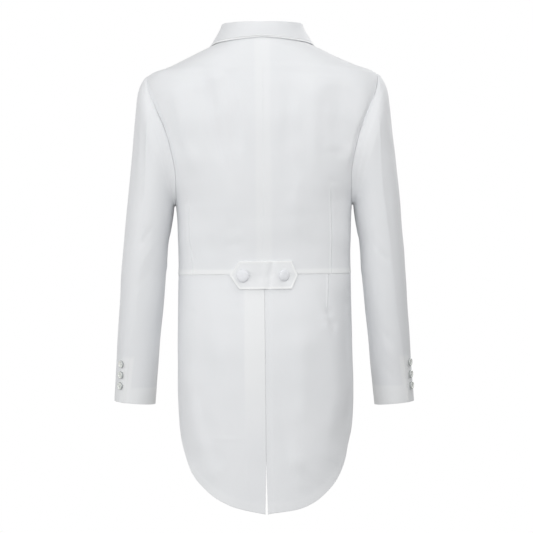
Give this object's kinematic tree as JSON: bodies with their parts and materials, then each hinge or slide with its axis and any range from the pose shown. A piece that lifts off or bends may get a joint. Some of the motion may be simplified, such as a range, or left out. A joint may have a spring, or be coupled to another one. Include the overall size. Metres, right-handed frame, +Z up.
{
  "type": "white evening tailcoat",
  "caption": "Hollow, filled-out white evening tailcoat with peaked lapels, a pointed back tab, two-piece sleeves and curved tails with a centre vent.",
  "frame": {"origin": "midway between the shoulders at the height of the neck points, where a wearer holds the coat up", "axes": "+X towards the wearer's left, +Y towards the coat's back, +Z up"},
  "size_m": [0.5775, 0.2479, 0.9273],
  "materials": {
    "white_suiting": "matt fine twill, white",
    "covered_button": "button covered in the same white cloth",
    "pearl_button": "glossy pearl white with a grey rim"
  },
  "bodies": {
    "root": {"back_left": "white_suiting", "back_right": "white_suiting", "front_left": "white_suiting", "front_right": "white_suiting", "lapel_left": "white_suiting", "lapel_right": "white_suiting", "collar": "white_suiting", "topsleeve_left": "white_suiting", "topsleeve_right": "white_suiting", "undersleeve_left": "white_suiting", "undersleeve_right": "white_suiting", "tail_left": "white_suiting", "tail_right": "white_suiting", "back_tab": "white_suiting", "tab_button_left": "covered_button", "tab_button_right": "covered_button", "cuff_button_left_1": "pearl_button", "cuff_button_left_2": "pearl_button", "cuff_button_left_3": "pearl_button", "cuff_button_right_1": "pearl_button", "cuff_button_right_2": "pearl_button", "cuff_button_right_3": "pearl_button"}
  },
  "joints": []
}
